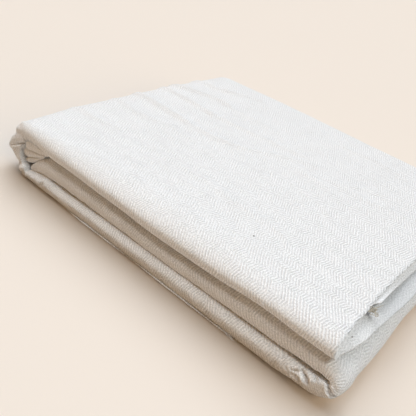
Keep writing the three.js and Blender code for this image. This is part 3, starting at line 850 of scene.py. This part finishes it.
def lipped_profile(thick, front, lip, y, inset, square):
    """The plain profile with a slot at a small inset: the fold above it, and a thin lip below."""
    fold, slot, edge = LIP_STEPS
    low = SLOT + SLOT_HALF
    nose = low + NOSE * (thick - low)
    angle = np.linspace(math.pi, 0, fold)[None]
    sine, cosine = rounded(angle, square)
    above = angle > math.pi / 2
    fold_y = front + np.where(above, FOLD_ROUND, BELLY) * (1 - sine)
    fold_inset = nose - cosine * np.where(above, thick - nose, nose - low)
    share = np.linspace(0, 1, slot + 2)[None, 1:-1]
    slot_y = fold_y[:, -1:] + (lip + LIP_ROUND - fold_y[:, -1:]) * share
    slot_end = np.maximum(front + BELLY + 3, lip + SLOT_DEPTH)
    slot_y = slot_y + (slot_end - slot_y) * np.sin(math.pi * share)
    slot_inset = low - 2 * SLOT_HALF * share + 0 * slot_y
    turn = np.linspace(math.pi, 0, edge)[None]
    edge_y = lip + LIP_ROUND * (1 - np.sin(turn))
    edge_inset = (SLOT - SLOT_HALF) / 2 * (1 - np.cos(turn)) + 0 * edge_y
    replaced = slice(LEG_STEPS, LEG_STEPS + sum(LIP_STEPS))
    new_y, new_inset = y.copy(), inset.copy()
    new_y[:, replaced] = np.concatenate([fold_y, slot_y, edge_y], axis=1)
    new_inset[:, replaced] = np.concatenate([fold_inset + 0 * fold_y, slot_inset, edge_inset], axis=1)
    return new_y, new_inset


print("the lip comes forward to y =", FLOOR_LIP[:, 1].min())

# %% [markdown]
# ## The base, the turn and the middle stack
# One sheet runs along the floor, turns up round the right end, and comes back as the middle stack. The
# lipped profile blends into the plain fold at the turn, and the middle stack ends in a rounded tip.

# %% Base and turn
MIDDLE_FRONT = -150.7
BOTTOM_FRONT = -155.3
BASE_FLAT = 52
# The middle stack's rounded tip: where it starts, its length, and how far it lies back. Then the gap
# between two stacks, and the height at which the middle one's upper face lies behind the front.
TIP_START = -141
TIP_LENGTH = 8
TIP_BACK = 5
LAYER_GAP = 0.4
MIDDLE_LEVEL = 33.2
UV_START = 450


def stretches(base, turn, middle):
    """One column of values for the three stretches of the strip."""
    return column(np.concatenate([base, turn, middle]))


def base_and_turn():
    """The lipped profile along the floor, then the plain one round the turn and along the middle stack."""
    base_x = np.concatenate([np.linspace(-148, 130, 140)[:-1], np.linspace(130, RIGHT_TURN, 34)[:-1]])
    angle = np.linspace(-90, 90, 64)[:-1]
    middle_x = np.linspace(RIGHT_TURN, -149, 132)
    on_base, on_middle = np.ones_like(base_x), np.ones_like(middle_x)
    turn_x, turn_z, slit_x, slit_z = right_turn(angle)
    outer_depth, inner_depth, bend_front, bend_square = table_lines(CORNER, angle)
    blend = smooth_step(base_x, 120, RIGHT_TURN)
    base_thick = mid_under(base_x) + 0.1
    base_thick = base_thick + (SLIT_ROOT[1] - base_thick) * blend
    base_outer = base_thick / 2 + (outer_depth[0] - base_thick / 2) * blend
    base_inner = base_thick / 2 + (inner_depth[0] - base_thick / 2) * blend
    tip = np.sqrt(np.clip(1 - (np.clip(TIP_START - middle_x, 0, TIP_LENGTH) / TIP_LENGTH) ** 2, 0.02, 1))
    middle_thick = (middle_top(middle_x) - mid_under(middle_x) - LAYER_GAP) * tip
    face = (middle_top(middle_x) + mid_under(middle_x) + LAYER_GAP + middle_thick) / 2
    thick = stretches(base_thick, np.hypot(turn_x - slit_x, turn_z - slit_z), middle_thick)
    shoulder = stretches(base_outer, outer_depth, middle_thick / 2)
    depth = stretches(base_inner, inner_depth, middle_thick / 2)
    front = stretches(BOTTOM_FRONT * on_base, bend_front, MIDDLE_FRONT + TIP_BACK * (1 - tip))
    square = stretches(0.8 * on_base, bend_square, 0.85 * on_middle)
    y, inset = profile(thick, depth, front, sum(LIP_STEPS), BASE_FLAT, square, shoulder)
    lip = smooth_line(base_x, *FLOOR_LIP.T)
    lip = stretches(lip, np.full_like(angle, FLOOR_LIP[-1, 1]), FLOOR_LIP[-1, 1] * on_middle)
    lip_y, lip_inset = lipped_profile(thick, front, lip, y, inset, square)
    lipped = smooth_step(base_x, -148, -138) * (1 - smooth_step(base_x, 136, 158))
    lipped = stretches(lipped, 0 * angle, 0 * middle_x)
    y = y + (lip_y - y) * lipped
    inset = inset + (lip_inset - inset) * lipped
    inner_x = stretches(base_x, slit_x, middle_x)
    inner_z = stretches(base_thick, slit_z, face - middle_thick)
    outer_x = stretches(base_x, turn_x, middle_x)
    outer_z = stretches(0 * base_x, turn_z, face)
    inward_x, inward_z = (inner_x - outer_x) / thick, (inner_z - outer_z) / thick
    more = table_lines(REACH_MORE, y)[0]
    outer_x = outer_x + more * stretches(0 * base_x, np.cos(np.radians(angle)), 0 * middle_x)
    rise = stretches(0 * base_x, 0 * angle, MIDDLE_LEVEL - face)
    outer_z = outer_z + rise * smooth_step(y, -151, -70)
    return np.stack([outer_x + inward_x * inset, y, outer_z + inward_z * inset], axis=-1)


points = base_and_turn()
normals = normals_of(points)
print("base and turn, from", points.min(axis=(0, 1)).round(1), "to", points.max(axis=(0, 1)).round(1))
print("the floor face looks down:", normals[60, 70].round(2))

# %% [markdown]
# ## The creases of the base
# The cloth was squeezed at the near corner, so short, deep creases cross there. Along the front run two
# long, low ridges, and everything above the floor is a little uneven.

# %% Creases of the base
# Each crease: depth, or minus the height of a ridge; width; rise beside it; then its line.
BASE_CREASES = [
    (3.2, 1.25, 0.9, [
        (157.2, -152.5, 18.6), (158.2, -154, 16.8), (159.9, -154.5, 14.6), (162, -154.5, 13.0),
        (165.5, -154.5, 10.6),
    ]),
    (1.6, 1.0, 0.5, [
        (157.4, -153.5, 17.0), (156.6, -154, 15.2), (154.6, -154.5, 12.8), (151.5, -154.5, 10.6),
    ]),
    (1.6, 1.0, 0.5, [
        (151.5, -154.5, 8.0), (155.4, -154.5, 9.9), (158.8, -154.5, 9.2), (161, -154.5, 6.8),
    ]),
    (3.0, 1.25, 0.8, [
        (174.4, -149.5, 20.2), (175.4, -151, 18.0), (176.8, -151, 16.0), (179.2, -149.5, 13.6),
        (182.4, -147, 11.8),
    ]),
    (2.4, 1.1, 0.6, [(168.0, -151.5, 18.5), (168.2, -153, 17.0), (167.4, -154, 15.0)]),
    (-1.6, 1.6, 0.0, [
        (-128.5, -154.5, 3.5), (-127, -154.5, 6.5), (-124.5, -154.5, 9.5), (-121, -153, 12.0),
    ]),
    (-1.5, 1.7, 0.0, [
        (-120, -154.5, 6.5), (-117.5, -154.5, 9.5), (-114.5, -153.5, 12.0), (-110, -152, 13.0),
    ]),
    (1.2, 1.3, 0.0, [(-124.5, -154.5, 4.0), (-122.5, -154.5, 7.0), (-119.0, -154, 11.0)]),
    (-2.2, 2.8, 0.0, [
        (-149, -148, 6.6), (-142, -147.5, 8.2), (-134, -147.5, 9.4), (-124, -147.5, 10.6), (-114, -147, 11),
    ]),
    (-1.4, 3.0, 0.0, [
        (-130, -148, 10.2), (-95, -148, 11.6), (-55, -148, 12.6), (6, -148, 13.4), (67, -148, 14.5),
        (107, -148, 14.6), (152, -148, 15.2),
    ]),
    (0.9, 3.0, 0.4, [(185, -70, 13), (186, 0, 18), (186, 60, 14)]),
    (0.7, 2.6, 0.3, [(184, 80, 23), (185.5, 125, 18), (184, 150, 12)]),
    (-0.8, 1.6, 0.0, [(-135, -154.5, 5.0), (-134, -154.5, 7.5), (-133, -153.5, 9.5)]),
]

x, z = points[..., 0], points[..., 2]
moved = creases(points, BASE_CREASES)
off_floor = smooth_step(z, 1.5, 5.0)
moved += off_floor * (0.18 * uneven(x, z, 22, 11) + 0.12 * uneven(x, z, 8, 12))
points = points + normals * moved[..., None]
base_sheet = cloth_sheet("base_and_turn", points, cloth_uv(points, UV_START), twill, SHEET)
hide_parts("right_wrap", "bottom_fold", "underside_panel", "middle_fold")

# %% [markdown]
# ## The layers that end at the right
# Under the top layer's free edge lie the other cut ends of the strip. The second shows as a narrow
# band: it reaches out past the top layer from a quarter of the way back, and bends down to its edge.
# The third droops further, down to a wavy edge. Both are made of straight lines from under the top
# layer, bent near their end.

# %% Second and third layer
LAYER_SHEET = 0.8
# How far each layer lies under the top face, with the second one's root, reach and drop, and the
# height of the third one's edge.
SECOND_UNDER = 1.35
SECOND_ROOT = 156
SECOND_REACH = 4.6
SECOND_DROP = 6.2
THIRD_UNDER = 1.4
THIRD_EDGE = 36.2


def second_layer():
    """Level under the top layer, then down by drop t^1.4 to its edge. The drop grows towards the back."""
    y = np.linspace(-148, 149, 160)[None]
    share = np.linspace(0, 1, 26)[:, None] ** 0.7
    edge = free_edge(y) - 1.2 + SECOND_REACH * smooth_step(y, -98, -84)
    x = SECOND_ROOT + (edge - SECOND_ROOT) * share
    bend = free_edge(y) - 2.5
    t = np.clip((x - bend) / (edge - bend), 0, 1)
    drop = SECOND_DROP * smooth_step(y, -98, -30)
    z = shoulder_height(TOP_RIGHT - 2, y) - SECOND_UNDER - drop * t**1.4
    return np.stack([x, np.broadcast_to(y, x.shape), z], axis=-1)


def third_layer():
    """From under the second layer out to the wavy edge: it sinks late near the corner, and early behind."""
    y = np.concatenate([np.linspace(-150.4, -128, 30), np.linspace(-128, 149, 120)[1:]])[None]
    share = np.linspace(0, 1, 24)[:, None]
    near = smooth_step(y, -150.4, -140)
    upper = shoulder_height(TOP_RIGHT - 4, y) - THIRD_UNDER
    start_z = np.minimum(upper, 48.0 - 2.0 * smooth_step(y, -146, -120))
    end_z = THIRD_EDGE + 2.0 * smooth_step(y, -151, -143) + 0.5 * uneven(y, 0 * y, 40, 7)
    start_x = free_edge(y) - 1.5 - 10 * near
    x = start_x + (droop_edge(y) - start_x) * share
    late, early = share ** (1 + 0.8 * near), 1 - (1 - share) ** 2.5
    z = start_z + (end_z - start_z) * (late + (early - late) * smooth_step(y, -96, -60))
    return np.stack([x, np.broadcast_to(y, x.shape), z], axis=-1)


def layer_uv(points, start):
    """The weave of a free layer: its distance from the strip's cut end, and its depth."""
    return np.stack([lengths_along(points, 0) + start, points[..., 1]], axis=-1)


layer = second_layer()[::-1]
second = cloth_sheet("second_layer_edge", layer, layer_uv(layer, 5), twill_inside, LAYER_SHEET)
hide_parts("second_layer")
layer = third_layer()[::-1]
third = cloth_sheet("third_layer_flap", layer, layer_uv(layer, 9), twill_under, LAYER_SHEET)
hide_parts("third_layer")
print("the third layer faces", normals_of(layer)[8, 60].round(2))

# %% [markdown]
# ## The buckled layers inside the left end
# Inside the turn, the inner layers had no room, so they buckled into small folds that fan out from a
# thin line. Each is half an ellipse between a lower and an upper line, carried along x.

# %% Inner folds
FOLD_SHEET = 0.7
FOLD_COLUMNS = 44
FOLD_LEG = 12
# Each fold: x, lower line, upper line and front, then how far it is set back at each line.
INNER_FOLDS = {
    "inner_fold_upper": ([
        (-159.6, 26.2, 33.5, -144.0), (-159.2, 26.0, 34.0, -146.4), (-157.8, 25.6, 35.0, -147.6),
        (-149, 26.6, 36.5, -147.8), (-139, 28.0, 36.0, -147.8), (-132, 29.8, 35.0, -147.6),
        (-126, 31.0, 34.0, -147.4),
    ], (0.1, 1.2)),
    "inner_fold_middle": ([
        (-161.6, 18.0, 24.2, -143.5), (-161.4, 17.2, 25.0, -146.2), (-160.0, 16.0, 25.6, -147.8),
        (-157, 15.0, 25.9, -148.4), (-149, 19.0, 26.9, -148.6), (-139, 23.9, 28.4, -148.4),
        (-129.5, 29.3, 30.6, -147.8),
    ], (0.9, 0.5)),
    "inner_fold_lower": ([
        (-159.6, 11.8, 14.6, -144.0), (-159.2, 11.6, 15.0, -146.5), (-157.5, 11.2, 15.4, -148.0),
        (-151.5, 12.6, 18.0, -148.6), (-146, 14.8, 20.8, -148.6), (-139, 21.2, 24.2, -148.2),
        (-130, 28.0, 29.6, -147.6),
    ], (1.0, 0.8)),
}


def small_fold(rows, recess, steps=16):
    """y = front + recess r (1 - cos a) between the lower and the upper line, r being half their distance."""
    rows = np.array(rows, float)
    x = np.interp(np.linspace(0, 1, FOLD_COLUMNS), np.linspace(0, 1, len(rows)), rows[:, 0])
    low, high, front = (column(line) for line in table_lines(rows, x))
    angle = np.linspace(-math.pi / 2, math.pi / 2, steps)[None]
    radius = (high - low) / 2
    back_off = np.where(angle < 0, recess[0], recess[1]) * (1 - np.cos(angle))
    y = front + back_off * np.minimum(radius, 6)
    z = (low + high) / 2 + radius * np.sin(angle)
    leg = np.linspace(FOLD_LEG, 0, 4, endpoint=False)[None]
    y = np.concatenate([y[:, :1] + leg, y, y[:, -1:] + leg[:, ::-1]], axis=1)
    z = np.concatenate([z[:, :1] + 0 * leg, z, z[:, -1:] + 0 * leg], axis=1)
    return np.stack([np.broadcast_to(x[:, None], y.shape), y, z], axis=-1)


for name, (rows, recess) in INNER_FOLDS.items():
    fold = small_fold(rows, recess)[::-1]
    sheet_name = name.replace("inner", "buckled")
    piece = cloth_sheet(sheet_name, fold, cloth_uv(fold, 0, 10, 0), twill_inside, FOLD_SHEET)
    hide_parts(name)

# %% [markdown]
# ## The selvedges at the back
# At the back, four layers of each stack end in the long woven edges of the cloth. They follow the same
# spiral, deeper inside the strip. Each is a narrow sheet with a wavy edge. Round the turns they lie on
# nested ellipses, so that they never cross.

# %% Selvedges
SELVEDGE_SHEET = 0.9
SELVEDGE_DEPTHS = (9.3, 11.3, 13.3, 15.2)
SELVEDGE_ROWS = np.array([120, 128, 136, 141, 145, 148, 150.0])
LEFT_TURN = -158
LEFT_REACH = 27.5


def selvedge(deep, seed):
    """One layer's path: along the top, round the left end, the floor, the right end, and back inside.

    Round an end, x = centre + (reach - deep) cos a and z = half height + (half height - deep) sin a.
    """
    top_x = np.linspace(RIGHT_TURN - 1, LEFT_TURN, 80)
    middle_x = np.linspace(RIGHT_TURN - 1, -140, 76)
    left = np.radians(np.linspace(90, 270, 26)[1:-1])
    right = np.radians(np.linspace(-90, 90, 18)[1:-1])
    left_half, right_half = HEIGHT / 2, STACK_TURN_HEIGHT / 2
    x = np.concatenate([
        top_x,
        LEFT_TURN + (LEFT_REACH - deep) * np.cos(left),
        top_x[::-1],
        RIGHT_TURN + (RIGHT_REACH - deep) * np.cos(right),
        middle_x,
    ])
    z = np.concatenate([
        0 * top_x + HEIGHT - deep,
        left_half + (left_half - deep) * np.sin(left),
        0 * top_x + deep,
        right_half + (right_half - deep) * np.sin(right),
        0 * middle_x + STACK_TURN_HEIGHT - deep,
    ])
    s = column(np.append(0, np.cumsum(np.hypot(np.diff(x), np.diff(z)))))
    edge = 0.9 * uneven(s, 0 * s, 70, seed) + 0.35 * uneven(s, 0 * s, 14, seed + 1)
    rows = SELVEDGE_ROWS[None]
    y = rows + edge * smooth_step(rows, SELVEDGE_ROWS[0], SELVEDGE_ROWS[-1])
    wobble = 0.25 * uneven(s, y, 35, seed + 2)
    return np.stack([np.broadcast_to(column(x), y.shape), y, column(z) + wobble], axis=-1)


def joined(name, meshes, material):
    """Several meshes as one piece, which rides the root."""
    parts = [placed(f"{name}_{k}", mesh) for k, mesh in enumerate(meshes)]
    with bpy.context.temp_override(active_object=parts[0], selected_editable_objects=parts):
        bpy.ops.object.join()
    parts[0].name = name
    parts[0].data.materials.append(material)
    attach(parts[0], "root")
    return parts[0]


layers = [sag(selvedge(deep, 20 + 5 * k)) for k, deep in enumerate(SELVEDGE_DEPTHS)]
meshes = [cloth_mesh("selvedge_layers", grid, layer_uv(grid, 0)) for grid in layers]
selvedges = joined("selvedge_layers", meshes, twill_inside)
give_wall(selvedges, SELVEDGE_SHEET, 0)
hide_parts("hidden_layers")

# %% [markdown]
# ## Loose fibres
# A cut cloth sheds. Each fibre is a thin tube round a smooth path. A real one would be a twist of many
# hairs, but at this size the tube's outline is all that shows.

# %% Fibre shapes
def strand(line, radius, steps=26, sides=6, seed=0):
    """A tube round a smooth path through the points: centre + r (side cos a + other sin a), tapered."""
    line = np.asarray(line, float)
    knots = np.arange(len(line), dtype=float)
    at = np.linspace(0, knots[-1], steps)
    centre = np.stack([smooth_line(at, knots, line[:, k]) for k in range(3)], axis=-1)
    heading = np.gradient(centre, axis=0)
    heading /= np.linalg.norm(heading, axis=-1, keepdims=True)
    side = np.cross(heading, [0.3, 0.5, 0.81])
    side /= np.linalg.norm(side, axis=-1, keepdims=True)
    other = np.cross(heading, side)
    share = np.linspace(0, 1, steps)
    taper = np.sqrt(np.clip(4 * share * (1 - share), 0.02, 1))
    size = radius * taper * (1 + 0.25 * uneven(share * 9, 0 * share, 2, seed))
    turn = np.linspace(0, 2 * math.pi, sides, endpoint=False)[None, :, None]
    ring = side[:, None] * np.cos(turn) + other[:, None] * np.sin(turn)
    return centre[:, None] + ring * size[:, None, None]


def fibre_material(name, colour, dark):
    """Two tones of one colour, mixed by a fine noise."""
    material, tree, shader = matt_material(name, 0.9, 0.2)
    wires = Wires(tree)
    place = tree.nodes.new("ShaderNodeTexCoord").outputs["Object"]
    tone = wires.spread(wires.noise(place, 2500.0, 2.0), 0.35, 0.65)
    tree.links.new(wires.mix(tone, dark, colour), shader.inputs["Base Color"])
    return material


def fibres(name, strands, material):
    """Several tubes as one piece."""
    meshes = [cloth_mesh(name, tube, tube[..., :2] * 0, closed=True) for tube in strands]
    return joined(name, meshes, material)


def wisps(centre, spread, length, count, seed):
    """Short, curved fibres in random directions about one place: each passes three points near it."""
    random = np.random.default_rng(seed)
    start = np.asarray(centre) + random.normal(size=(count, 3)) * spread
    way = random.normal(size=(count, 3)) * (1, 1, 0.5)
    way *= length / np.linalg.norm(way, axis=-1, keepdims=True)
    bend = random.normal(size=(count, 3)) * length * 0.25
    return [np.array([a - w / 2, a + b, a + w / 2]) for a, w, b in zip(start, way, bend)]


print("a strand's grid:", strand([(0, 0, 0), (1, 0, 0), (2, 1, 0)], 0.3).shape)

# %% [markdown]
# ## The tuft, the specks and the lint
# A tuft of grey yarn hangs from the second layer's edge, a few ends show at the floor, and specks of
# lint lie on the top.

# %% Tuft and lint
TUFT_LINES = [
    [
        (168.6, -104.6, 48.4), (170.0, -102.0, 49.0), (171.0, -98.6, 49.2), (172.6, -93.6, 49.3),
        (174.1, -88.4, 48.9),
    ],
    [(169.0, -103.2, 48.6), (170.6, -100.0, 49.3), (172.2, -97.8, 49.1), (173.6, -96.6, 48.6)],
    [
        (169.8, -98.6, 48.8), (171.4, -97.6, 49.3), (172.6, -99.4, 49.0), (174.0, -102.2, 48.2),
        (175.8, -103.8, 47.5),
    ],
    [
        (170.2, -101.4, 48.9), (173.0, -101.6, 48.6), (175.2, -100.4, 48.0), (175.8, -101.8, 47.7),
        (173.8, -102.8, 48.0),
    ],
    [(168.2, -106.4, 48.2), (169.8, -104.2, 48.8), (171.6, -101.8, 48.9), (172.2, -98.8, 49.1)],
]
hairs = wisps((171.0, -100.6, 49.0), (0.9, 1.8, 0.25), 3.2, 20, 3)
tuft = [strand(line, 0.36, seed=k) for k, line in enumerate(TUFT_LINES)]
tuft += [strand(line, 0.26, 12, seed=9 + k) for k, line in enumerate(hairs)]
yarn = fibre_material("grey_yarn", (0.6, 0.56, 0.48, 1), (0.36, 0.33, 0.27, 1))
fibres("yarn_tuft", tuft, yarn)
specks = [strand([(172.6, -134.4, 46.9), (173.1, -133.8, 47.2), (173.4, -133.3, 46.9)], 0.4, 8)]
specks.append(strand([(69.9, -105.2, 50.1), (70.5, -104.7, 50.35), (71.2, -104.4, 50.1)], 0.3, 8))
dark_lint = fibre_material("dark_lint", (0.3, 0.27, 0.24, 1), (0.16, 0.14, 0.12, 1))
fibres("dark_specks", specks, dark_lint)
lint = wisps((115.5, -151.2, 41.6), (0.6, 0.15, 0.3), 1.6, 9, 5)
lint += [line + np.array([0, 0, 0.2]) for line in wisps((-60, 20, 50.2), (60, 60, 0.02), 1.8, 10, 8)]
YARN_ENDS = [
    [(95.5, -153.6, 2.0), (97.2, -155.2, 1.2), (99.0, -155.8, 0.5), (101.4, -155.6, 0.4)],
    [(99.0, -153.8, 2.2), (101.0, -155.4, 1.6), (103.4, -156.2, 0.6), (106.2, -155.2, 0.4)],
    [(102.0, -153.6, 1.8), (103.0, -155.0, 0.9), (104.2, -156.6, 0.4)],
]
white = [strand(line, 0.16, 12, seed=30 + k) for k, line in enumerate(lint)]
white += [strand(line, 0.2, 18, seed=50 + k) for k, line in enumerate(YARN_ENDS)]
white_lint = fibre_material("white_lint", (0.9, 0.89, 0.87, 1), (0.75, 0.74, 0.72, 1))
fibres("white_lint", white, white_lint)
print("fibres:", len(tuft), "grey,", len(specks), "dark,", len(white), "white")

# %% [markdown]
# ## The floor
# The bundle lies on a plain, matt, cream floor: one square that reaches well past the view.

# %% Floor
FLOOR_SIZE = 6


def floor_plane(size):
    """A square on the ground, size metres from the middle to each side."""
    corners = [(-size, -size, 0), (size, -size, 0), (size, size, 0), (-size, size, 0)]
    mesh = bpy.data.meshes.new("floor")
    mesh.from_pydata(corners, [], [(0, 1, 2, 3)])
    ground = placed("floor", mesh)
    return ground


floor = floor_plane(FLOOR_SIZE)
paper, _, paper_shader = matt_material("cream_floor", 0.95, 0.1)
paper_shader.inputs["Base Color"].default_value = (0.846, 0.769, 0.695, 1)
floor.data.materials.append(paper)


print("floor of", 2 * FLOOR_SIZE, "m")

# %% [markdown]
# ## The light
# Broad lights from behind and from both sides keep the cloth bright and almost neutral, and a low, warm
# one in front stands for the light that the floor sends back under the lip. The floor has lights of its
# own, so that its soft shadow can be warmer and fainter than the shade on the cloth: each light is
# linked to a collection that says what it falls on.

# %% Light
def lit_group(name, members):
    """A collection that only says which objects a light falls on."""
    group = bpy.data.collections.new(name)
    for member in members:
        group.objects.link(member)
    return group


def sun(name, lit, azimuth, elevation, angle, strength, colour):
    """A far light: azimuth says where it comes from, 0 for -Y and 90 for +X, and elevation how high."""
    a, e = math.radians(azimuth), math.radians(elevation)
    away = Vector((math.sin(a) * math.cos(e), -math.cos(a) * math.cos(e), math.sin(e)))
    data = bpy.data.lights.new(name, "SUN")
    data.angle = math.radians(angle)
    data.energy = strength
    data.color = colour
    light = placed(name, data)
    light.rotation_euler = away.to_track_quat("Z", "Y").to_euler()
    light.light_linking.receiver_collection = lit


pieces = [o for o in bpy.context.scene.objects if o.type == "MESH" and o != floor]
on_cloth = lit_group("lit_cloth", pieces)
on_floor = lit_group("lit_floor", [floor])
sun("back window", on_cloth, 180, 60, 60, 1.08, (0.83, 0.89, 1.0))
sun("left window", on_cloth, 270, 60, 30, 1.56, (0.945, 0.96, 1.0))
sun("right window", on_cloth, 90, 60, 20, 1.63, (0.985, 1.0, 0.965))
sun("low warm", on_cloth, 330, 14, 40, 0.5, (1.0, 0.5, 0.08))
sun("floor back", on_floor, 180, 60, 60, 1.6, (0.82, 0.91, 1.0))
sun("floor room", on_floor, 90, 25, 60, 2.0, (1.0, 0.80, 0.58))
sun("floor left", on_floor, 225, 45, 60, 1.89, (0.955, 0.975, 1.0))
world = bpy.data.worlds.new("surround")
bpy.context.scene.world = world
world.use_nodes = True
surround = world.node_tree.nodes["Background"]
surround.inputs["Color"].default_value = (1.0, 0.82, 0.66, 1)
surround.inputs["Strength"].default_value = 0.02
bpy.context.scene.view_settings.view_transform = "Standard"

# %% [markdown]

# %% [markdown]
# ## The end
